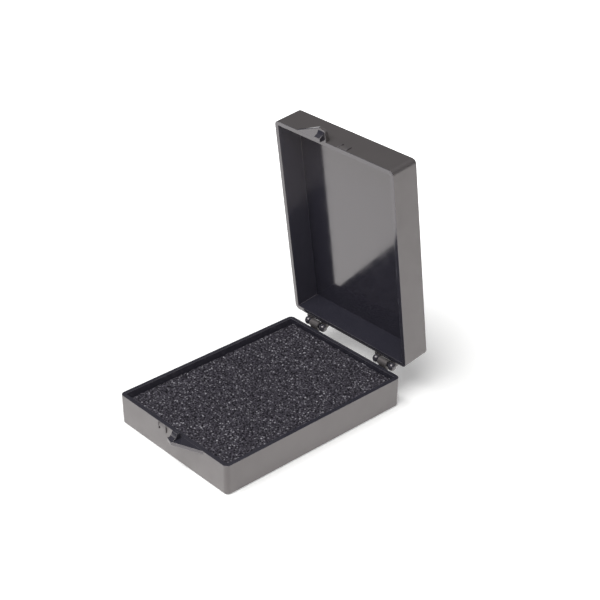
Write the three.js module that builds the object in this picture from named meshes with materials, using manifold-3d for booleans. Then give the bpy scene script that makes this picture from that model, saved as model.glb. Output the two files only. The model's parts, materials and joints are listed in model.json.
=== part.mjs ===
// Small hinged storage box: a moulded tray with a foam pad, and a moulded lid that stands open.
// Millimetres, +Z up. The origin is the middle of the tray's underside, the hinge side is +Y
// and X runs along the hinge.

import * as THREE from 'three';
import { mergeVertices } from 'three/addons/utils/BufferGeometryUtils.js';
import Module from 'manifold-3d';

const wasm = await Module();
wasm.setup();

// Overall sizes of the shut box
const boxWidth = 65;
const boxDepth = 90;
const baseHeight = 13;
const lidHeight = 12.6;
const partingGap = 0.1;

// Walls of both mouldings
const wallThickness = 1.8;
const floorThickness = 1.8;
const lidTopThickness = 1.8;
const draftAngle = THREE.MathUtils.degToRad(0.7);
const cornerRadius = 2;
const outerEdgeRadius = 0.6;
const innerEdgeRadius = 0.5;
const leastRadius = 0.3;
const rootOverlap = 0.9;

// Foam pad, cut to fill the tray
const foamBelowRim = 1.8;
const foamClearance = 0.3;
const foamEdgeRadius = 0.9;

// Hinges: a pin bar between two lugs on the lid turns in a clip on the tray
const openAngle = THREE.MathUtils.degToRad(82.5);
const hingeOffset = 2.95;
const hingeCentre = 20.3;
const lugRadius = 1.8;
const lugWidth = 3.2;
const lugGap = 5.6;
const lugRounding = 0.8;
const lugLift = 0.45;
const lugArmRise = 5.2;
const lugWebRise = 1.8;
const lugWebClearance = 0.35;
const pinRadius = 0.75;
const pinClearance = 0.3;
const clipWall = 0.7;
const clipSideGap = 0.4;
const clipMouth = 1.3;
const clipMouthAngle = THREE.MathUtils.degToRad(60);
const bracketDrop = 0.45;
const bracketHeight = 5;

// Latch: thumb tab, hook, catch and guide ribs at the front rim
const tabStart = 19.4;
const tabTip = 6.4;
const tabNose = 2.8;
const tabReach = 5.3;
const tabNoseReach = 3.8;
const tabEdge = 1.4;
const tabRoot = 1.9;
const tabSink = 0.3;
const hookStart = 3.2;
const hookWidth = 3.4;
const hookStandOff = 0.65;
const hookRootReach = 3.4;
const hookCrestReach = 2.1;
const hookRise = 2.5;
const hookLead = 0.5;
const catchProud = 0.3;
const catchTop = 0.3;
const catchCrest = 1.3;
const catchFoot = 2;
const ribWidth = 0.5;
const ribProud = 0.45;
const ribTop = 0.15;
const ribHeight = 3;
const ribClearance = 0.35;

// Fineness of the round stretches
const cornerSteps = 3;
const edgeSteps = 4;
const roundSides = 24;

// Places that follow from the sizes above
const rimFront = -boxDepth / 2;
const axisY = boxDepth / 2 + hingeOffset;
const axisZ = baseHeight + partingGap / 2;
const lidRim = baseHeight + partingGap;
const bore = pinRadius + pinClearance;
const ringRadius = bore + clipWall;

const blackPlastic = { color: 0x1c1b1d, roughness: 0.28, metalness: 0 };
const blackFoam = { color: 0x1a191c, roughness: 0.95, metalness: 0 };

// Outline of the box in plan, drawn in by an inset, at one height
function planRing(inset, z) {
  const radius = Math.max(cornerRadius - inset, leastRadius);
  const x = boxWidth / 2 - inset - radius;
  const y = boxDepth / 2 - inset - radius;
  const outline = new THREE.Path();
  outline.absarc(x, y, radius, 0, Math.PI / 2);
  outline.absarc(-x, y, radius, Math.PI / 2, Math.PI);
  outline.absarc(-x, -y, radius, Math.PI, Math.PI * 1.5);
  outline.absarc(x, -y, radius, Math.PI * 1.5, Math.PI * 2);
  return outline.getPoints(cornerSteps).map((p) => new THREE.Vector3(p.x, p.y, z));
}

// Skin over a stack of rings with as many points each, lowest ring first, closed by flat ends
function loft(rings) {
  const count = rings[0].length;
  const index = [];
  for (let r = 0; r + 1 < rings.length; r += 1) {
    for (let i = 0; i < count; i += 1) {
      const next = (i + 1) % count;
      const a = r * count + i;
      const b = r * count + next;
      index.push(a, b, b + count, a, b + count, a + count);
    }
  }
  const flatEnd = rings[0].map((p) => new THREE.Vector2(p.x, p.y));
  const top = (rings.length - 1) * count;
  for (const [a, b, c] of THREE.ShapeUtils.triangulateShape(flatEnd, [])) {
    index.push(c, b, a, top + a, top + b, top + c);
  }
  const geometry = new THREE.BufferGeometry();
  geometry.setFromPoints(rings.flat());
  geometry.setIndex(index);
  return geometry;
}

// A closed geometry as a solid that can be joined and cut
function solid(geometry) {
  const bare = geometry.clone();
  bare.deleteAttribute('normal');
  bare.deleteAttribute('uv');
  const merged = mergeVertices(bare);
  const corners = merged.index.array;
  const triangles = [];
  for (let i = 0; i < corners.length; i += 3) {
    const [a, b, c] = corners.slice(i, i + 3);
    if (a !== b && b !== c && c !== a) triangles.push(a, b, c);
  }
  const vertProperties = new Float32Array(merged.attributes.position.array);
  const triVerts = new Uint32Array(triangles);
  return new wasm.Manifold(new wasm.Mesh({ numProp: 3, vertProperties, triVerts }));
}

// A profile drawn in Y and Z, extruded along X between two places
function alongX(shape, from, to, rounding = 0) {
  const geometry = new THREE.ExtrudeGeometry(shape, {
    depth: to - from - 2 * rounding,
    bevelEnabled: rounding > 0,
    bevelThickness: rounding,
    bevelSize: rounding,
    bevelOffset: -rounding,
    bevelSegments: 3,
    curveSegments: roundSides / 2,
  });
  const yAxis = new THREE.Vector3(0, 1, 0);
  const zAxis = new THREE.Vector3(0, 0, 1);
  const xAxis = new THREE.Vector3(1, 0, 0);
  geometry.applyMatrix4(new THREE.Matrix4().makeBasis(yAxis, zAxis, xAxis));
  return geometry.translate(from + rounding, 0, 0);
}

// A round bar along X, centred on the hinge axis
function barAlongX(radius, from, to) {
  const bar = new THREE.CylinderGeometry(radius, radius, to - from, roundSides);
  return bar.rotateZ(Math.PI / 2).translate((from + to) / 2, 0, 0);
}

function polygon(points) {
  return new THREE.Shape(points.map(([a, b]) => new THREE.Vector2(a, b)));
}

function joined(solids) {
  return solids.reduce((whole, piece) => whole.add(piece));
}

// Open shell with drafted walls. Its rim is at z = 0 and it goes down to -height.
function shell(height, closedThickness) {
  const draftInset = (depth) => depth * Math.tan(draftAngle);
  const rounded = (bottom, radius, inset) => {
    const rings = [];
    for (let k = 0; k <= edgeSteps; k += 1) {
      const turn = (k / edgeSteps) * Math.PI / 2;
      const depth = bottom - radius * (1 - Math.cos(turn));
      rings.push(planRing(inset + draftInset(depth) + radius * (1 - Math.sin(turn)), -depth));
    }
    return rings;
  };
  const outside = [...rounded(height, outerEdgeRadius, 0), planRing(0, 0)];
  const above = wallThickness;
  const mouth = planRing(wallThickness + draftInset(-above), above);
  const inside = [...rounded(height - closedThickness, innerEdgeRadius, wallThickness), mouth];
  return solid(loft(outside)).subtract(solid(loft(inside)));
}

// Wedge-shaped thumb tab at the rim, with a sloping underside that runs into the wall
function thumbTab() {
  const ring = (reach, noseReach, startReach, z) => [
    [tabNose, rootOverlap],
    [tabNose, -noseReach],
    [tabTip, -reach],
    [tabStart, -startReach],
    [tabStart, rootOverlap],
  ].map(([x, y]) => new THREE.Vector3(x, rimFront + y, z));
  return solid(loft([
    ring(-tabSink, -tabSink, -tabSink, -tabRoot),
    ring(tabReach, tabNoseReach, 0, -tabEdge),
    ring(tabReach, tabNoseReach, 0, 0),
  ]));
}

// Hook that stands on the tab and reaches past the other moulding's wall, with a sloping front
function latchHook() {
  const inner = rimFront - hookStandOff;
  const root = rimFront - hookRootReach;
  const profile = polygon([
    [inner, -tabEdge / 2],
    [inner, hookRise - hookLead],
    [inner - hookLead, hookRise],
    [rimFront - hookCrestReach, hookRise],
    [root, 0],
    [root, -tabEdge / 2],
  ]);
  return solid(alongX(profile, hookStart, hookStart + hookWidth));
}

// Catch ramp that the other moulding's hook snaps over, between two guide ribs
function latchCatch() {
  const buried = rimFront + rootOverlap;
  const ramp = polygon([
    [buried, -catchTop],
    [rimFront, -catchTop],
    [rimFront - catchProud, -catchCrest],
    [rimFront - catchProud, -catchFoot],
    [buried, -catchFoot],
  ]);
  const rib = polygon([
    [buried, -ribTop],
    [rimFront, -ribTop],
    [rimFront - ribProud, -ribTop - ribProud],
    [rimFront - ribProud, -ribHeight],
    [buried, -ribHeight - ribProud - rootOverlap],
  ]);
  const near = -hookStart + ribClearance;
  const far = -hookStart - hookWidth - ribClearance;
  return joined([
    solid(alongX(ramp, far, near)),
    solid(alongX(rib, near, near + ribWidth)),
    solid(alongX(rib, far - ribWidth, far)),
  ]);
}

// Everything at the front rim. The lid carries the same set, turned over about Y.
function latchSet() {
  return joined([thumbTab(), latchHook(), latchCatch()]);
}

// Clip on the tray: an open ring round the pin, on a bracket that runs down the back wall
function hingeClip(side) {
  const halfWidth = lugGap / 2 - clipSideGap;
  const from = side * hingeCentre - halfWidth;
  const to = side * hingeCentre + halfWidth;
  const wall = -hingeOffset;
  const bracket = polygon([
    [wall - rootOverlap, -bracketDrop],
    [wall - rootOverlap, -bracketHeight],
    [wall, -bracketHeight],
    [ringRadius / 2, -ringRadius],
    [0, -bracketDrop],
  ]);
  const mouth = new THREE.BoxGeometry(to - from + wallThickness, 2 * ringRadius, clipMouth);
  mouth.translate(0, ringRadius, 0).rotateX(clipMouthAngle).translate(side * hingeCentre, 0, 0);
  const body = joined([solid(barAlongX(ringRadius, from, to)), solid(alongX(bracket, from, to))]);
  const cut = solid(barAlongX(bore, from - wallThickness, to + wallThickness)).add(solid(mouth));
  return body.subtract(cut).translate([0, axisY, axisZ]);
}

// One hinge of the lid about its axis: two lugs with their arms, the pin bar and a web between them
function hingeLugs(side) {
  const centre = side * hingeCentre;
  const lugCentre = (lugGap + lugWidth) / 2;
  const wall = -hingeOffset - rootOverlap;
  const arm = new THREE.Shape();
  arm.moveTo(wall, lugLift);
  arm.lineTo(-Math.sqrt(lugRadius ** 2 - lugLift ** 2), lugLift);
  const start = Math.PI - Math.asin(lugLift / lugRadius);
  arm.absarc(0, 0, lugRadius, start, Math.PI * 2.3);
  arm.lineTo(wall, lugArmRise);
  const webFace = -ringRadius - lugWebClearance;
  const web = polygon([
    [wall, lugLift],
    [webFace, lugLift],
    [webFace, lugWebRise],
    [wall, lugArmRise],
  ]);
  const pieces = [
    solid(barAlongX(pinRadius, centre - lugCentre, centre + lugCentre)),
    solid(alongX(web, centre - lugCentre, centre + lugCentre)),
  ];
  for (const end of [-1, 1]) {
    const middle = centre + end * lugCentre;
    pieces.push(solid(alongX(arm, middle - lugWidth / 2, middle + lugWidth / 2, lugRounding)));
  }
  return joined(pieces);
}

function piece(name, body, look) {
  const data = body.getMesh();
  const geometry = new THREE.BufferGeometry();
  geometry.setAttribute('position', new THREE.BufferAttribute(new Float32Array(data.vertProperties), 3));
  geometry.setIndex(new THREE.BufferAttribute(new Uint32Array(data.triVerts), 1));
  geometry.computeVertexNormals();
  const mesh = new THREE.Mesh(geometry, new THREE.MeshStandardMaterial(look));
  mesh.name = name;
  return mesh;
}

function baseTray() {
  const atRim = shell(baseHeight, floorThickness).add(latchSet());
  const tray = atRim.translate([0, 0, baseHeight]);
  return piece('base_tray', joined([tray, hingeClip(-1), hingeClip(1)]), blackPlastic);
}

// The lid is modelled shut, about the hinge axis
function lidCover() {
  const turnedOver = shell(lidHeight, lidTopThickness).add(latchSet()).rotate([0, 180, 0]);
  const lid = turnedOver.translate([0, -axisY, lidRim - axisZ]);
  return piece('lid_cover', joined([lid, hingeLugs(-1), hingeLugs(1)]), blackPlastic);
}

function foamPad() {
  const inset = (z) => wallThickness + foamClearance + (baseHeight - z) * Math.tan(draftAngle);
  const bottom = floorThickness + foamClearance;
  const top = baseHeight - foamBelowRim;
  const rings = [planRing(inset(bottom) + innerEdgeRadius, bottom)];
  rings.push(planRing(inset(bottom + innerEdgeRadius), bottom + innerEdgeRadius));
  for (let k = 0; k <= edgeSteps; k += 1) {
    const turn = (k / edgeSteps) * Math.PI / 2;
    const z = top - foamEdgeRadius * (1 - Math.sin(turn));
    rings.push(planRing(inset(z) + foamEdgeRadius * (1 - Math.cos(turn)), z));
  }
  return piece('foam_pad', solid(loft(rings)), blackFoam);
}

const lidOnHinge = new THREE.Group();
lidOnHinge.position.set(0, axisY, axisZ);
lidOnHinge.rotation.x = -openAngle;
lidOnHinge.add(lidCover());

const hingedBox = new THREE.Group();
hingedBox.add(baseTray(), foamPad(), lidOnHinge);

export default hingedBox;
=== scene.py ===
# %% [markdown]
# A small hinged storage box
#
# The real object is a black moulded plastic box that stands open. A sheet of black foam fills the tray,
# the lid swings on two snap hinges at the back, and a thumb tab on each half opens the latch at the front.
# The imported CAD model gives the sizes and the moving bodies. This lesson models the finer shapes over it,
# gives each surface its finish, and sets up the camera and the light.

# %% Load the frame
import json
import math
import bmesh
import bpy
from mathutils import Matrix, Vector


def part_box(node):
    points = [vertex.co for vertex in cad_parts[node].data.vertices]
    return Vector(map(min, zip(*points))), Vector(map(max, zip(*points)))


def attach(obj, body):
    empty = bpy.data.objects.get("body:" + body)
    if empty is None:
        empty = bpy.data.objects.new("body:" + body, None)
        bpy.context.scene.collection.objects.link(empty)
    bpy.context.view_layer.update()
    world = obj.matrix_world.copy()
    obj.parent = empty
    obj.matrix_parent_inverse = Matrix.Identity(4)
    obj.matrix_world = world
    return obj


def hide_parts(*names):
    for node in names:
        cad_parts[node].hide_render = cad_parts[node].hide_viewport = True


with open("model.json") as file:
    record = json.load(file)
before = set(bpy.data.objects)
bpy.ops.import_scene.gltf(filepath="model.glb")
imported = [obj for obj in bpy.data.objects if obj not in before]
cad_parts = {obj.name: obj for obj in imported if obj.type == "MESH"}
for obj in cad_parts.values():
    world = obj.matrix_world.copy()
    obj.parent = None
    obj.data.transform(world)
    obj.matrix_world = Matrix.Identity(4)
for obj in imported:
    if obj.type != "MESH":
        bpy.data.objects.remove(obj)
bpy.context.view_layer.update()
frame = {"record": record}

mm = 0.001

# %% [markdown]
# Camera
#
# The photograph was taken from the front right, from about thirty degrees above the table. Its straight
# edges converge, so a perspective camera was fitted to them: that gives where it stood, how it was turned
# and how long its lens was. The picture is square, and the lens is given for a sensor 36 mm wide.

# %% Place the camera
camera_place = (365.84 * mm, -313.55 * mm, 328.44 * mm)
camera_turn = (60.125, -0.246, 47.763)
camera_lens = 87.62
camera_sensor = 36
nearest_seen = 10 * mm

camera_data = bpy.data.cameras.new("camera")
camera_data.sensor_width = camera_sensor
camera_data.lens = camera_lens
camera_data.clip_start = nearest_seen
camera = bpy.data.objects.new("camera", camera_data)
camera.location = camera_place
camera.rotation_euler = [math.radians(angle) for angle in camera_turn]
bpy.context.scene.collection.objects.link(camera)
bpy.context.scene.camera = camera
print("camera lens:", camera_lens, "mm")

# %% [markdown]
# Floor and light
#
# The box stands on a white studio table that runs out of the picture on all sides. One wide soft lamp hangs
# above and in front of it, so the shadows are soft and gather under the leaning lid. In reflections the
# world is a dark grey, because the walls of a studio are darker than its table, and the upward faces of the
# glossy box mirror them. The camera itself sees a white world. The floor glows a little for the camera, more
# with the distance from the box, so that it runs out to white and keeps the shadow near the box. In
# reflections it glows fully, which makes the walls of the box grey. The glow adds no diffuse light.

# %% Lay the floor
floor_size = 12
floor_drop = 0.2

bpy.ops.object.select_all(action="DESELECT")
bpy.ops.mesh.primitive_plane_add(size=floor_size, location=(0, 0, -floor_drop * mm))
floor = bpy.context.active_object
floor.name = "floor"
print("floor:", floor_size, "m wide")


# %% Helpers: nodes
def add_node(tree, kind, **settings):
    node = tree.nodes.new(kind)
    for name, value in settings.items():
        setattr(node, name, value)
    return node


def set_inputs(node, values):
    for socket, value in values.items():
        node.inputs[socket].default_value = value


def set_ramp(node, stops):
    for element, (position, colour) in zip(node.color_ramp.elements, stops):
        element.position = position
        element.color = colour


# %% Paint the floor
white = (1, 1, 1, 1)
floor_white = (0.98, 0.98, 0.97, 1)
floor_roughness = 0.9
floor_glow = 0.17
glow_start = 0.045
glow_end = 0.3


def white_table():
    paint = bpy.data.materials.new("white_table")
    paint.use_nodes = True
    tree = paint.node_tree
    join = tree.links.new
    surface = tree.nodes["Principled BSDF"]
    set_inputs(surface, {"Base Color": floor_white, "Roughness": floor_roughness})
    set_inputs(surface, {"Specular IOR Level": 0, "Emission Color": white})
    rays = add_node(tree, "ShaderNodeLightPath")
    place = add_node(tree, "ShaderNodeTexCoord")
    away = add_node(tree, "ShaderNodeVectorMath", operation="LENGTH")
    brighter_away = add_node(tree, "ShaderNodeMapRange")
    set_inputs(brighter_away, {"From Min": glow_start, "From Max": glow_end, "To Min": floor_glow})
    mirrored = add_node(tree, "ShaderNodeMath", operation="MAXIMUM")
    glow = add_node(tree, "ShaderNodeMath", operation="MULTIPLY_ADD")
    join(place.outputs["Object"], away.inputs[0])
    join(away.outputs["Value"], brighter_away.inputs["Value"])
    join(rays.outputs["Is Glossy Ray"], mirrored.inputs[0])
    join(rays.outputs["Is Transmission Ray"], mirrored.inputs[1])
    join(rays.outputs["Is Camera Ray"], glow.inputs[0])
    join(brighter_away.outputs["Result"], glow.inputs[1])
    join(mirrored.outputs[0], glow.inputs[2])
    join(glow.outputs[0], surface.inputs["Emission Strength"])
    return paint


floor.data.materials.append(white_table())
print("floor material:", floor.data.materials[0].name)

# %% Hang the lamp
lamp_place = Vector((0.12, -0.66, 1.2))
lamp_width = 1.3
lamp_depth = 0.9
lamp_power = 22.5

lamp_data = bpy.data.lights.new("softbox", "AREA")
lamp_data.shape = "RECTANGLE"
lamp_data.size = lamp_width
lamp_data.size_y = lamp_depth
lamp_data.energy = lamp_power
lamp = bpy.data.objects.new("softbox", lamp_data)
lamp.location = lamp_place
lamp.rotation_euler = lamp_place.to_track_quat("Z", "Y").to_euler()
bpy.context.scene.collection.objects.link(lamp)
print("lamp:", lamp_power, "W")

# %% Set the world
wall_stop = (0.54, (0.07, 0.07, 0.075, 1))
ceiling_stop = (0.8, (0.25, 0.25, 0.25, 1))

world = bpy.data.worlds.new("studio")
world.use_nodes = True
studio = world.node_tree
join_world = studio.links.new
backdrop = studio.nodes["Background"]
direction = add_node(studio, "ShaderNodeTexCoord")
upward = add_node(studio, "ShaderNodeSeparateXYZ")
studio_walls = add_node(studio, "ShaderNodeValToRGB")
set_ramp(studio_walls, (wall_stop, ceiling_stop))
white_backdrop = add_node(studio, "ShaderNodeBackground")
set_inputs(white_backdrop, {"Color": white})
seen = add_node(studio, "ShaderNodeLightPath")
shown = add_node(studio, "ShaderNodeMixShader")
join_world(direction.outputs["Generated"], upward.inputs["Vector"])
join_world(upward.outputs["Z"], studio_walls.inputs["Fac"])
join_world(studio_walls.outputs["Color"], backdrop.inputs["Color"])
join_world(seen.outputs["Is Camera Ray"], shown.inputs["Fac"])
join_world(backdrop.outputs["Background"], shown.inputs[1])
join_world(white_backdrop.outputs["Background"], shown.inputs[2])
join_world(shown.outputs["Shader"], studio.nodes["World Output"].inputs["Surface"])
bpy.context.scene.world = world
bpy.context.scene.view_settings.view_transform = "Standard"
print("world:", world.name)

# %% [markdown]
# Sizes
#
# All sizes are in millimetres. Shells, hinge axis and foam follow the CAD model, and the latch and the lugs
# have some finer details of their own. Both halves of the box share their wall, corners and latch. The place
# of the hinge comes from the frame, because the lid swings about it.

# %% Sizes of the mouldings
box_width = 65
box_depth = 90
tray_height = 13
lid_height = 12.6
parting_gap = 0.1
wall = 1.8
draft_angle = math.radians(0.7)
corner_radius = 2
outer_edge = 0.6
inner_edge = 0.06
rim_edge = 0.14
open_angle = math.radians(82.5)
root = 0.9

hinge = Vector(frame["record"]["behaviour"]["joints"][0]["pos_m"])
front = -box_depth / 2
print("hinge axis at", [round(value / mm, 2) for value in hinge], "mm")

# %% [markdown]
# Tools for modelling
#
# Every hard piece starts as a box or a cylinder at its real size and is then cut and rounded, the way one
# would work by hand: pick faces or edges, extrude, inset, bevel, slice. A few short helpers keep that
# readable. One of them, finish_moulding, rounds the sharp edges a little, because no moulded edge is truly
# sharp, merges points that fall together, and weights the normals by area, so that flat faces mirror as
# flat faces.

# %% Helpers: start a piece
def box_between(name, low, high):
    bpy.ops.object.select_all(action="DESELECT")
    bpy.ops.mesh.primitive_cube_add(size=1)
    piece = bpy.context.active_object
    piece.name = name
    piece.location = [(a + b) / 2 * mm for a, b in zip(low, high)]
    piece.scale = [(b - a) * mm for a, b in zip(low, high)]
    bpy.ops.object.transform_apply()
    return piece


def bar_along_x(name, radius, start, end, sides=40):
    bpy.ops.object.select_all(action="DESELECT")
    bpy.ops.mesh.primitive_cylinder_add(vertices=sides, radius=radius * mm, depth=(end - start) * mm)
    piece = bpy.context.active_object
    piece.name = name
    piece.rotation_euler = (0, math.radians(90), 0)
    piece.location = ((start + end) / 2 * mm, 0, 0)
    bpy.ops.object.transform_apply()
    return piece


# %% Helpers: pick and slice
squarely = 0.9
hair = 0.01
weld = 0.001


def everything(part):
    return True


def nothing(part):
    return False


def pick(piece, kind, test):
    bpy.context.view_layer.objects.active = piece
    if piece.mode != "EDIT":
        bpy.ops.object.mode_set(mode="EDIT")
    bpy.ops.mesh.select_mode(type=kind)
    bpy.ops.mesh.select_all(action="DESELECT")
    form = bmesh.from_edit_mesh(piece.data)
    parts = form.faces if kind == "FACE" else form.edges
    for part in parts:
        if test(part):
            part.select_set(True)
    form.select_flush_mode()
    bmesh.update_edit_mesh(piece.data)


def slice_off(piece, point, normal):
    pick(piece, "FACE", everything)
    bpy.ops.mesh.bisect(
        plane_co=[value * mm for value in point], plane_no=Vector(normal).normalized(),
        use_fill=True, clear_outer=True, threshold=weld * mm
    )


# %% Helpers: finish
sharp_angle = math.radians(35)
smooth_angle = math.radians(40)
edge_segments = 3
flat_weight = 80


def apply_modifier(piece, kind, **settings):
    bpy.context.view_layer.objects.active = piece
    modifier = piece.modifiers.new(kind.lower(), kind)
    for name, value in settings.items():
        setattr(modifier, name, value)
    bpy.ops.object.modifier_apply(modifier=modifier.name)


def finish_moulding(piece, rounding=0):
    if piece.mode == "EDIT":
        bpy.ops.object.mode_set(mode="OBJECT")
    if rounding > 0:
        apply_modifier(
            piece, "BEVEL", width=rounding * mm, segments=edge_segments, angle_limit=sharp_angle
        )
        pick(piece, "FACE", everything)
        bpy.ops.mesh.remove_doubles(threshold=weld * mm)
        bpy.ops.object.mode_set(mode="OBJECT")
    bpy.ops.object.select_all(action="DESELECT")
    piece.select_set(True)
    bpy.context.view_layer.objects.active = piece
    bpy.ops.object.shade_smooth_by_angle(angle=smooth_angle)
    apply_modifier(piece, "WEIGHTED_NORMAL", keep_sharp=True, weight=flat_weight)


def mark_faces(piece, name, test):
    marks = [1 if test(face) else 0 for face in piece.data.polygons]
    attribute = piece.data.attributes.new(name, "FLOAT", "FACE")
    attribute.data.foreach_set("value", marks)


# %% Helpers: join and place
def join_as(name, pieces):
    bpy.ops.object.select_all(action="DESELECT")
    for piece in pieces:
        piece.select_set(True)
    bpy.context.view_layer.objects.active = pieces[0]
    bpy.ops.object.join()
    pieces[0].name = name
    pieces[0].data.name = name
    print(name, "has", len(pieces[0].data.polygons), "faces")
    return pieces[0]


def put(piece, place):
    bpy.ops.object.select_all(action="DESELECT")
    piece.select_set(True)
    bpy.context.view_layer.objects.active = piece
    piece.matrix_world = place
    bpy.ops.object.transform_apply()
    return piece


at_hinge = Matrix.Translation(hinge)
on_tray_rim = Matrix.Translation((0, 0, tray_height * mm))
swung_open = at_hinge @ Matrix.Rotation(-open_angle, 4, "X")
shut_rim = Matrix.Translation(Vector((0, 0, (tray_height + parting_gap) * mm)) - hinge)
on_lid_rim = swung_open @ shut_rim @ Matrix.Rotation(math.pi, 4, "Y")

# %% [markdown]
# Shells
#
# Tray and lid are the same open box, moulded with a slight draft so that it leaves its tool. A block gets
# its corners and closed edge rounded by bevels. Its top face is inset by the wall and pushed down to make
# the hollow, and at last both edges of the rim are broken. The shell is modelled rim up, with the rim at
# height zero. The lid is that shell turned over, shut, and swung open about the hinge. Marks on the faces
# tell the material where the moulding is satin and which inner side walls get painted light, a lighter
# colour that stands in for the light falling on them.

# %% Where a shell is satin or gets painted light
def is_outside(face, height):
    x, y, z = face.center / mm
    outside = max(abs(x) - box_width / 2, abs(y) - box_depth / 2, -z - height) > -wall / 2
    return outside and z < -rim_edge


def is_inner_side(face, height):
    upright = abs(face.normal.x) > squarely and face.center.z < -rim_edge * mm
    return upright and not is_outside(face, height)


# %% Model a shell
corner_segments = 8
outer_segments = 5
inner_segments = 4
rim_turn = 1


def narrow(depth):
    narrowing = 2 * depth * math.tan(draft_angle)
    bpy.ops.transform.resize(
        value=(1 - narrowing / box_width, 1 - narrowing / box_depth, 1),
        center_override=(0, 0, -depth * mm)
    )


def is_rim_edge(edge):
    level = all(vert.co.z > -hair * mm for vert in edge.verts)
    return level and edge.calc_face_angle(0) > rim_turn


def moulded_shell(name, height):
    shell = box_between(name, (-box_width / 2, front, -height), (box_width / 2, -front, 0))
    pick(shell, "FACE", lambda face: face.normal.z < -squarely)
    narrow(height)
    pick(shell, "EDGE", lambda edge: abs(edge.verts[0].co.z - edge.verts[1].co.z) > wall * mm)
    bpy.ops.mesh.bevel(offset=corner_radius * mm, segments=corner_segments)
    pick(shell, "EDGE", lambda edge: all(vert.co.z < (hair - height) * mm for vert in edge.verts))
    bpy.ops.mesh.bevel(offset=outer_edge * mm, segments=outer_segments)

    pick(shell, "FACE", lambda face: face.normal.z > squarely)
    bpy.ops.mesh.inset(thickness=wall * mm)
    depth = height - wall
    bpy.ops.mesh.extrude_region_move(TRANSFORM_OT_translate={"value": (0, 0, -depth * mm)})
    narrow(depth)
    bpy.ops.mesh.bevel(offset=inner_edge * mm, segments=inner_segments)
    pick(shell, "EDGE", is_rim_edge)
    bpy.ops.mesh.bevel(offset=rim_edge * mm, segments=edge_segments)
    finish_moulding(shell)
    mark_faces(shell, "satin", lambda face: is_outside(face, height))
    # the inner side walls are marked for painted light: a lighter colour that stands in for the light
    # falling on them
    mark_faces(shell, "painted_side_light", lambda face: is_inner_side(face, height))
    print(name, "has", len(shell.data.polygons), "faces")
    return shell


tray_shell = put(moulded_shell("tray_shell", tray_height), on_tray_rim)
lid_shell = put(moulded_shell("lid_shell", lid_height), on_lid_rim)

# %% [markdown]
# Latch
#
# At the front rim each half has a wedge-shaped thumb tab with a hook on it, and beside that a low catch
# between two guide ribs. The other half's hook slides between the ribs and snaps over the catch. The hook
# leans back in two facets, the lower one on a foot of its own. All of them are blocks that are sliced to
# shape, and they run into the wall a little, as one moulding. Both halves carry the same set. It is
# modelled with the rim at height zero, once for each half.

# %% Sizes of the latch
tab_start = 19.4
tab_tip = 6.4
tab_nose = 3.2
tab_reach = 5.3
tab_nose_reach = 4.4
tab_edge = 1.4
tab_root = 1.9
tab_sink = 0.02
tab_rounding = 0.3
tab_rounding_segments = 6
hook_start = 3.75
hook_width = 3.1
hook_gap = 0.65
hook_root = 3.6
hook_crest = 2.4
hook_rise = 2.4
hook_lead = 0.5
foot_root = 4.4
foot_rise = 0.8
foot_inset = 0.05
catch_proud = 0.3
catch_top = 0.3
catch_crest = 1.3
catch_foot = 2.0
rib_width = 0.5
rib_proud = 0.45
rib_top = 0.15
rib_height = 3
rib_gap = 0.35
tab_softness = 0.2
hook_softness = 0.2
foot_softness = 0.1
catch_softness = 0.08
rib_softness = 0.1
print("tab from", tab_nose, "to", tab_start, "mm beside the middle")


# %% Model the thumb tab
steeply = 0.5
slightly = 0.1


def is_satin_on_tab(face):
    under = face.normal.z < -steeply
    nose = face.normal.x < -slightly and face.normal.z < steeply
    return under or nose


def thumb_tab():
    low = (tab_nose, front - tab_reach, -tab_root)
    tab = box_between("thumb_tab", low, (tab_start, front + root, -tab_sink))
    along = Vector((tab_start - tab_tip, tab_reach, 0))
    tip = (tab_tip, front - tab_reach, -tab_edge)
    slice_off(tab, tip, (along.y, -along.x, 0))
    slice_off(tab, tip, (tab_nose_reach - tab_reach, tab_nose - tab_tip, 0))
    inward = Vector((0, tab_reach, tab_edge - tab_root))
    slice_off(tab, tip, -along.cross(inward))

    def is_long_upper_edge(edge):
        upper = all(vert.co.z > -2 * tab_sink * mm for vert in edge.verts)
        return upper and (edge.verts[1].co - edge.verts[0].co).cross(along).length < hair * mm

    pick(tab, "EDGE", is_long_upper_edge)
    bpy.ops.mesh.bevel(offset=tab_rounding * mm, segments=tab_rounding_segments)
    finish_moulding(tab, tab_softness)
    mark_faces(tab, "satin", is_satin_on_tab)
    return tab


# %% Model the hook
def latch_hook():
    low = (hook_start, front - hook_root, -tab_edge / 2)
    high = (hook_start + hook_width, front - hook_gap, hook_rise)
    hook = box_between("latch_hook", low, high)
    slice_off(hook, (0, front - hook_root, 0), (0, -hook_rise, hook_root - hook_crest))
    slice_off(hook, (0, front - hook_gap, hook_rise - hook_lead), (0, 1, 1))
    finish_moulding(hook, hook_softness)
    low = (hook_start + foot_inset, front - foot_root, -tab_edge / 2)
    high = (hook_start + hook_width - foot_inset, front - hook_crest, 2 * foot_rise)
    foot = box_between("hook_foot", low, high)
    knee = hook_root - foot_rise / hook_rise * (hook_root - hook_crest)
    slice_off(foot, (0, front - foot_root, 0), (0, -foot_rise, foot_root - knee))
    finish_moulding(foot, foot_softness)
    return [hook, foot]


# %% Model the catch and its guide ribs
def guide_rib(start):
    low = (start, front - rib_proud, -rib_height - rib_proud)
    rib = box_between("guide_rib", low, (start + rib_width, front + root, -rib_top))
    slice_off(rib, (0, front, -rib_top), (0, -1, 1))
    slice_off(rib, (0, front - rib_proud, -rib_height), (0, -1, -1))
    finish_moulding(rib, rib_softness)
    mark_faces(rib, "satin", everything)
    return rib


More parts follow.
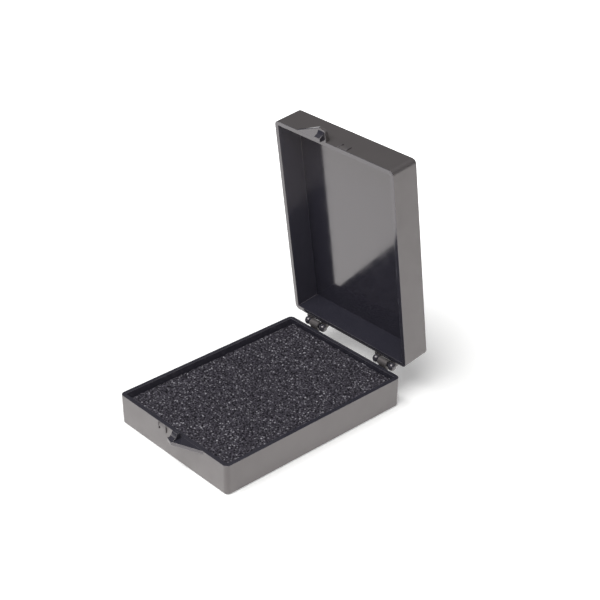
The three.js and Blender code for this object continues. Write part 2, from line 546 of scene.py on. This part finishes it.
def catch_with_ribs():
    near = rib_gap - hook_start
    far = -rib_gap - hook_start - hook_width
    low = (far, front - catch_proud, -catch_foot)
    ramp = box_between("catch_ramp", low, (near, front + root, -catch_top))
    slice_off(ramp, (0, front, -catch_top), (0, catch_top - catch_crest, catch_proud))
    finish_moulding(ramp, catch_softness)
    mark_faces(ramp, "satin", everything)
    return [ramp, guide_rib(near), guide_rib(far - rib_width)]


def latch_set(name):
    return join_as(name, [thumb_tab(), *latch_hook(), *catch_with_ribs()])


tray_latch = put(latch_set("tray_latch"), on_tray_rim)
lid_latch = put(latch_set("lid_latch"), on_lid_rim)

# %% [markdown]
# Hinges
#
# On each side the lid has two round lugs with a thin pin between them, and the pin is pressed into an open
# clip on the tray. The clip is a piece of tube: a cylinder without ends gets its wall from Solidify, and a
# block cuts its mouth. A bracket carries it on the back wall. The lugs are cylinders with ends as round as
# a bead, each with an arm that runs up the lid's wall, and a web joins the arms. They are modelled about the
# hinge axis, with the lid shut.

# %% Sizes of the hinges
hinge_offset = 2.95
hinge_centre = 20.3
lug_radius = 1.8
lug_width = 3.2
lug_gap = 5.6
lug_rounding = 1.55
lug_rounding_segments = 8
lug_shoulder = math.radians(54)
lug_lift = 0.45
arm_rise = 5.2
web_rise = 1.8
web_gap = 0.35
pin_radius = 0.75
pin_sides = 24
pin_gap = 0.3
clip_wall = 0.7
clip_side_gap = 0.4
clip_mouth = 1.3
clip_mouth_angle = math.radians(60)
bracket_drop = 0.45
bracket_height = 5
ring_softness = 0.12
bracket_softness = 0.15
arm_softness = 0.5
web_softness = 0.12
ring_radius = pin_radius + pin_gap + clip_wall
back_wall = -hinge_offset
print("clip radius:", round(ring_radius, 2), "mm")


# %% Model a clip of the tray
def clip_ring(start, end):
    ring = bar_along_x("hinge_ring", ring_radius, start, end)
    pick(ring, "FACE", lambda face: abs(face.normal.x) > squarely)
    bpy.ops.mesh.delete(type="FACE")
    bpy.ops.object.mode_set(mode="OBJECT")
    apply_modifier(ring, "SOLIDIFY", thickness=clip_wall * mm, offset=-1)
    low = (start - wall, 0, -clip_mouth / 2)
    cutter = box_between("mouth", low, (end + wall, 2 * ring_radius, clip_mouth / 2))
    put(cutter, Matrix.Rotation(clip_mouth_angle, 4, "X"))
    apply_modifier(ring, "BOOLEAN", operation="DIFFERENCE", object=cutter)
    bpy.data.objects.remove(cutter)
    finish_moulding(ring, ring_softness)
    mark_faces(ring, "satin", everything)
    return ring


def clip_bracket(start, end):
    low = (start, back_wall - root, -bracket_height)
    bracket = box_between("bracket", low, (end, ring_radius / 2, -bracket_drop))
    slope = (bracket_height - ring_radius, hinge_offset + ring_radius / 2)
    slice_off(bracket, (0, back_wall, -bracket_height), (0, slope[0], -slope[1]))
    chamfer = (0, ring_radius - bracket_drop, ring_radius / 2)
    slice_off(bracket, (0, ring_radius / 2, -ring_radius), chamfer)
    slice_off(bracket, (0, 0, -ring_radius), (0, 0, 1))
    finish_moulding(bracket, bracket_softness)
    mark_faces(bracket, "satin", everything)
    return bracket


def hinge_clip(centre):
    start = centre - lug_gap / 2 + clip_side_gap
    end = centre + lug_gap / 2 - clip_side_gap
    return [clip_ring(start, end), clip_bracket(start, end)]


tray_hinges = join_as("tray_hinges", hinge_clip(-hinge_centre) + hinge_clip(hinge_centre))
put(tray_hinges, at_hinge)


# %% Model the lugs of the lid
partly = 0.3


def faces_back(face):
    return face.normal.y > partly


def hinge_lug(middle):
    start = middle - lug_width / 2
    end = middle + lug_width / 2
    lug = bar_along_x("lug", lug_radius, start, end)
    pick(lug, "EDGE", lambda edge: abs(edge.verts[0].co.x - edge.verts[1].co.x) < hair * mm)
    bpy.ops.mesh.bevel(offset=lug_rounding * mm, segments=lug_rounding_segments)
    finish_moulding(lug)
    mark_faces(lug, "satin", faces_back)
    point = (0, lug_radius * math.cos(lug_shoulder), lug_radius * math.sin(lug_shoulder))
    arm = box_between("lug_arm", (start, back_wall - root, lug_lift), (end, 0, arm_rise))
    slice_off(arm, point, (0, arm_rise - point[2], point[1] - back_wall + root))
    finish_moulding(arm, arm_softness)
    mark_faces(arm, "satin", everything)
    return [lug, arm]


# %% Model the pin and the web between the lugs
def lid_hinge(centre):
    reach = (lug_gap + lug_width) / 2
    pin = bar_along_x("pin", pin_radius, centre - reach, centre + reach, sides=pin_sides)
    finish_moulding(pin)
    low = (centre - reach, back_wall - root, lug_lift)
    web = box_between("web", low, (centre + reach, -ring_radius - web_gap, arm_rise))
    slope = (arm_rise - web_rise, hinge_offset + root - ring_radius - web_gap)
    slice_off(web, (0, -ring_radius - web_gap, web_rise), (0, *slope))
    finish_moulding(web, web_softness)
    mark_faces(web, "satin", faces_back)
    return [pin, web, *hinge_lug(centre - reach), *hinge_lug(centre + reach)]


lid_hinges = join_as("lid_hinges", lid_hinge(-hinge_centre) + lid_hinge(hinge_centre))
put(lid_hinges, swung_open)

# %% [markdown]
# Foam
#
# The pad is a sheet of open-cell foam: thousands of small bubbles, cut through at the surface, so the top is
# all pits and thin ridges. A fine grid is the top of the pad. A Displace modifier with a cell texture sinks
# a pit into each bubble, and a second one with smaller cells roughens the ridges. The border is pressed down
# a little to round the cut edge, and more along the left wall, where the pad is tucked in. At last the
# border is extruded down to the floor of the tray.

# %% Model the top of the foam
foam_low, foam_high = [Vector(corner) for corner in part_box("foam_pad")]
foam_size = foam_high - foam_low
cell_size = 1.15
pit_depth = 0.75
fine_cell = 0.5
fine_depth = 0.3
cell_contrast = 1.1
cell_middle = 0.6
grid_step = 0.3
foam_swell = 0.2


def cell_texture(name, size):
    texture = bpy.data.textures.new(name, "VORONOI")
    texture.noise_scale = size * mm
    texture.noise_intensity = cell_contrast
    return texture


bpy.ops.object.select_all(action="DESELECT")
bpy.ops.mesh.primitive_grid_add(
    x_subdivisions=int(foam_size.x / mm / grid_step),
    y_subdivisions=int(foam_size.y / mm / grid_step), size=1
)
foam = bpy.context.active_object
foam.name = "foam_sheet"
foam.scale = (foam_size.x, foam_size.y, 1)
foam.location = (0, 0, foam_high.z + foam_swell * mm)
bpy.ops.object.transform_apply()
for name, size, depth in (("bubbles", cell_size, pit_depth), ("small_bubbles", fine_cell, fine_depth)):
    apply_modifier(
        foam, "DISPLACE", texture=cell_texture(name, size), texture_coords="LOCAL",
        direction="Z", strength=depth * mm, mid_level=cell_middle
    )
print("foam top has", len(foam.data.polygons), "faces")

# %% Press the border down
border_drops = (0.2, 0.1)
tuck_rings = 6
tuck_drop = 0.18


def lower_points(piece, test, drop):
    pick(piece, "FACE", nothing)
    form = bmesh.from_edit_mesh(piece.data)
    for vert in form.verts:
        vert.select_set(test(vert.co))
    bpy.ops.mesh.select_mode(type="VERT")
    bmesh.update_edit_mesh(piece.data)
    bpy.ops.transform.translate(value=(0, 0, -drop * mm))


for ring, drop in enumerate(border_drops):
    inside = foam_size / 2 - Vector((1, 1, 0)) * (ring + 0.5) * grid_step * mm
    lower_points(foam, lambda point: abs(point.x) > inside.x or abs(point.y) > inside.y, drop)
for ring in range(tuck_rings):
    tucked = foam_low.x + (ring + 0.5) * grid_step * mm
    lower_points(foam, lambda point: point.x < tucked, tuck_drop)
print("foam border lowered in", len(border_drops), "rings, left side in", tuck_rings)

# %% Close the pad
foam_smooth_angle = math.radians(60)

pick(foam, "EDGE", lambda edge: edge.is_boundary)
bpy.ops.mesh.extrude_region_move()
bpy.ops.transform.resize(value=(1, 1, 0), center_override=(0, 0, foam_low.z))
bpy.ops.mesh.edge_face_add()
bpy.ops.mesh.select_all(action="SELECT")
bpy.ops.mesh.normals_make_consistent(inside=False)
bpy.ops.object.mode_set(mode="OBJECT")
bpy.ops.object.shade_smooth_by_angle(angle=foam_smooth_angle)
print("foam height:", round(foam.dimensions.z / mm, 2), "mm")

# %% [markdown]
# Finish of the plastic
#
# The box is black plastic, polished inside and satin outside. Much of its grey comes from what it mirrors,
# so the colour itself is dark and the gloss does the work. The inner side walls are painted a little
# lighter:
# a painted light that stands in for the light falling on them. A real moulding isn't a perfect mirror: it
# has faint waves from the cooling plastic, a haze that varies, and hair-fine scuffs from use. Edges are a
# little lighter and duller, where they rub. The waves, the haze, the scuffs and the satin grain are one node
# group.

# %% Mark the worn edges
sharp_radius = 0.4


def mark_edges(piece):
    form = bmesh.new()
    form.from_mesh(piece.data)
    worn = []
    for face in form.faces:
        sharpest = 0
        for edge in face.edges:
            for other in edge.link_faces:
                apart = (other.calc_center_median() - face.calc_center_median()).length
                if other != face and apart > 0:
                    sharpest = max(sharpest, edge.calc_face_angle_signed(0) / apart)
        worn.append(min(1, sharpest * sharp_radius * mm))
    form.free()
    attribute = piece.data.attributes.new("worn_edge", "FLOAT", "FACE")
    attribute.data.foreach_set("value", worn)
    print(piece.name, "worn faces:", sum(value > 0.5 for value in worn))


mouldings = [tray_shell, tray_latch, tray_hinges, lid_shell, lid_latch, lid_hinges]
for piece in mouldings:
    mark_edges(piece)

# %% Values of the moulded skin
wave_scale = 70
haze_scale = 160
grain_scale = 3500
scuff_scale = 1
scuff_turn = (0.3, 0.2, 0.6)
scuff_stretch = (300, 5000, 900)
scuff_low = 0.66
scuff_high = 0.75
scuff_roughness = 0.08
scuff_height = -0.012
haze_low = 0.35
haze_high = 0.7
least_roughness = 0.09
most_roughness = 0.15
satin_roughness = 0.3
satin_grain_height = 0.06
print("roughness:", least_roughness, "to", most_roughness, "polished,", satin_roughness, "more on satin")


# %% Node group: moulded skin
def skin_noise(tree, scale, detail):
    noise = add_node(tree, "ShaderNodeTexNoise")
    set_inputs(noise, {"Scale": scale, "Detail": detail})
    return noise


def scaled_sum(tree, factor):
    node = add_node(tree, "ShaderNodeMath", operation="MULTIPLY_ADD")
    set_inputs(node, {1: factor})
    return node


def moulded_skin_group():
    tree = bpy.data.node_groups.new("moulded_skin", "ShaderNodeTree")
    tree.interface.new_socket("Vector", in_out="INPUT", socket_type="NodeSocketVector")
    tree.interface.new_socket("Satin", in_out="INPUT", socket_type="NodeSocketFloat")
    for name in ("Haze", "Roughness", "Height"):
        tree.interface.new_socket(name, in_out="OUTPUT", socket_type="NodeSocketFloat")
    start = add_node(tree, "NodeGroupInput")
    end = add_node(tree, "NodeGroupOutput")
    waves = skin_noise(tree, wave_scale, detail=1)
    haze = skin_noise(tree, haze_scale, detail=4)
    scuffs = skin_noise(tree, scuff_scale, detail=2)
    grain = skin_noise(tree, grain_scale, detail=1)
    stretch = add_node(tree, "ShaderNodeMapping")
    set_inputs(stretch, {"Rotation": scuff_turn, "Scale": scuff_stretch})
    scuff_mask = add_node(tree, "ShaderNodeMapRange")
    set_inputs(scuff_mask, {"From Min": scuff_low, "From Max": scuff_high})
    haze_range = add_node(tree, "ShaderNodeMapRange")
    set_inputs(haze_range, {"From Min": haze_low, "From Max": haze_high})
    set_inputs(haze_range, {"To Min": least_roughness, "To Max": most_roughness})
    rough = scaled_sum(tree, scuff_roughness)
    height = scaled_sum(tree, scuff_height)
    satin_rough = scaled_sum(tree, satin_roughness)
    satin_height = scaled_sum(tree, satin_grain_height)
    satin_grain = add_node(tree, "ShaderNodeMath", operation="MULTIPLY")
    join = tree.links.new
    for texture in (waves, haze, stretch, grain):
        join(start.outputs["Vector"], texture.inputs["Vector"])
    join(stretch.outputs["Vector"], scuffs.inputs["Vector"])
    join(scuffs.outputs["Fac"], scuff_mask.inputs["Value"])
    join(haze.outputs["Fac"], haze_range.inputs["Value"])
    join(scuff_mask.outputs["Result"], rough.inputs[0])
    join(haze_range.outputs["Result"], rough.inputs[2])
    join(scuff_mask.outputs["Result"], height.inputs[0])
    join(waves.outputs["Fac"], height.inputs[2])
    join(start.outputs["Satin"], satin_grain.inputs[0])
    join(grain.outputs["Fac"], satin_grain.inputs[1])
    join(satin_grain.outputs[0], satin_height.inputs[0])
    join(height.outputs[0], satin_height.inputs[2])
    join(start.outputs["Satin"], satin_rough.inputs[0])
    join(rough.outputs[0], satin_rough.inputs[2])
    join(haze.outputs["Fac"], end.inputs["Haze"])
    join(satin_rough.outputs[0], end.inputs["Roughness"])
    join(satin_height.outputs[0], end.inputs["Height"])
    return tree


moulded_skin = moulded_skin_group()
print("node group:", moulded_skin.name)

# %% Values of the plastic
plastic_ior = 1.75
warm_mirror = (1, 0.93, 0.92, 1)
polished_black = (0.023, 0.0225, 0.032, 1)
hazy_black = (0.030, 0.029, 0.039, 1)
# painted light: this lighter grey on the inner side walls stands in for the light that falls on them
painted_side_light_grey = (0.052, 0.050, 0.066, 1)
satin_grey = (0.073, 0.067, 0.067, 1)
worn_grey = (0.085, 0.082, 0.09, 1)
worn_roughness = 0.25
skin_strength = 0.15
skin_depth = 0.2
print("plastic IOR:", plastic_ior)


# %% Black plastic
def mixed_colour(tree, factor, first, second):
    mix = add_node(tree, "ShaderNodeMix", data_type="RGBA")
    set_inputs(mix, {"B": second})
    tree.links.new(factor, mix.inputs["Factor"])
    tree.links.new(first, mix.inputs["A"])
    return mix.outputs["Result"]


def face_mark(tree, name):
    return add_node(tree, "ShaderNodeAttribute", attribute_name=name).outputs["Fac"]


def black_plastic(name):
    paint = bpy.data.materials.new(name)
    paint.use_nodes = True
    tree = paint.node_tree
    join = tree.links.new
    surface = tree.nodes["Principled BSDF"]
    set_inputs(surface, {"IOR": plastic_ior, "Specular Tint": warm_mirror})
    place = add_node(tree, "ShaderNodeTexCoord")
    skin = add_node(tree, "ShaderNodeGroup", node_tree=moulded_skin)
    satin = face_mark(tree, "satin")
    join(place.outputs["Object"], skin.inputs["Vector"])
    join(satin, skin.inputs["Satin"])

    tint = add_node(tree, "ShaderNodeMix", data_type="RGBA")
    set_inputs(tint, {"A": polished_black, "B": hazy_black})
    join(skin.outputs["Haze"], tint.inputs["Factor"])
    rub = add_node(tree, "ShaderNodeMath", operation="MULTIPLY")
    join(face_mark(tree, "worn_edge"), rub.inputs[0])
    join(skin.outputs["Haze"], rub.inputs[1])
    # paint the inner side walls lighter, a painted light standing in for the light that falls on them
    painted_side_light = mixed_colour(tree, face_mark(tree, "painted_side_light"), tint.outputs["Result"], painted_side_light_grey)
    outer = mixed_colour(tree, satin, painted_side_light, satin_grey)
    join(mixed_colour(tree, rub.outputs[0], outer, worn_grey), surface.inputs["Base Color"])

    dull = scaled_sum(tree, worn_roughness)
    join(rub.outputs[0], dull.inputs[0])
    join(skin.outputs["Roughness"], dull.inputs[2])
    join(dull.outputs[0], surface.inputs["Roughness"])
    bump = add_node(tree, "ShaderNodeBump")
    set_inputs(bump, {"Strength": skin_strength, "Distance": skin_depth * mm})
    join(skin.outputs["Height"], bump.inputs["Height"])
    join(bump.outputs["Normal"], surface.inputs["Normal"])
    return paint


plastic = black_plastic("black_plastic")
for piece in mouldings:
    piece.data.materials.clear()
    piece.data.materials.append(plastic)
print("plastic on", len(mouldings), "pieces")

# %% [markdown]
# Finish of the foam
#
# The foam is black too, but matte and full of holes. Its thin cell walls are smooth, and here and there one
# catches the light, which gives the pad its glitter. A noise in the material gives pits and struts their
# tone, and a cell texture smooths the tops of a few cells and paints a highlight on them: a light grey
# that stands in for the light they catch.

# %% Values of the foam
foam_gloss = 0.15
strut_size = 0.85
tone_size = 0.75
glint_edge = 0.6
glint_core = 0.15
glint_rareness = 4
pit_stop = (0.36, (0.005, 0.0045, 0.007, 1))
strut_stop = (0.66, (0.064, 0.059, 0.073, 1))
# painted highlight: the light grey that a few cell tops get stands in for the light they catch
painted_glint_grey = (0.34, 0.33, 0.36, 1)
matte_roughness = 0.85
glint_roughness = 0.4
print("foam struts:", strut_size, "mm")


# %% Black foam
def black_foam():
    paint = bpy.data.materials.new("black_foam")
    paint.use_nodes = True
    tree = paint.node_tree
    join = tree.links.new
    surface = tree.nodes["Principled BSDF"]
    set_inputs(surface, {"Specular IOR Level": foam_gloss})
    place = add_node(tree, "ShaderNodeTexCoord")
    struts = add_node(tree, "ShaderNodeTexVoronoi")
    set_inputs(struts, {"Scale": 1 / (strut_size * mm)})
    grain = skin_noise(tree, 1 / (tone_size * mm), detail=1)
    join(place.outputs["Object"], struts.inputs["Vector"])
    join(place.outputs["Object"], grain.inputs["Vector"])

    cell_top = add_node(tree, "ShaderNodeMapRange", interpolation_type="SMOOTHSTEP")
    set_inputs(cell_top, {"From Min": glint_edge, "From Max": glint_core})
    join(struts.outputs["Distance"], cell_top.inputs["Value"])
    chance = add_node(tree, "ShaderNodeSeparateColor")
    join(struts.outputs["Color"], chance.inputs["Color"])
    few = add_node(tree, "ShaderNodeMath", operation="POWER")
    set_inputs(few, {1: glint_rareness})
    join(chance.outputs["Red"], few.inputs[0])
    # mask of a few cell tops: they get a painted highlight in light grey, and a smoother real gloss
    painted_glint_mask = add_node(tree, "ShaderNodeMath", operation="MULTIPLY")
    join(cell_top.outputs["Result"], painted_glint_mask.inputs[0])
    join(few.outputs[0], painted_glint_mask.inputs[1])

    tone = add_node(tree, "ShaderNodeValToRGB")
    set_ramp(tone, (pit_stop, strut_stop))
    join(grain.outputs["Fac"], tone.inputs["Fac"])
    painted_glint_colour = mixed_colour(tree, painted_glint_mask.outputs[0], tone.outputs["Color"], painted_glint_grey)
    join(painted_glint_colour, surface.inputs["Base Color"])
    rough = add_node(tree, "ShaderNodeMapRange")
    set_inputs(rough, {"To Min": matte_roughness, "To Max": glint_roughness})
    join(painted_glint_mask.outputs[0], rough.inputs["Value"])
    join(rough.outputs["Result"], surface.inputs["Roughness"])
    return paint


foam.data.materials.clear()
foam.data.materials.append(black_foam())
print("foam material:", foam.data.materials[0].name)

# %% [markdown]
# Moving parts
#
# Each piece rides on the body that it belongs to, so that the lid takes its shell, tab and lugs along. The
# two shells and the foam stand for the three CAD solids, which stay in the simulation but aren't shown.

# %% Ride and replace
for piece in (tray_shell, tray_latch, tray_hinges):
    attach(piece, "tray")
for piece in (lid_shell, lid_latch, lid_hinges):
    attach(piece, "lid")
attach(foam, "tray")
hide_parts("base_tray")
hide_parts("lid_cover")
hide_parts("foam_pad")
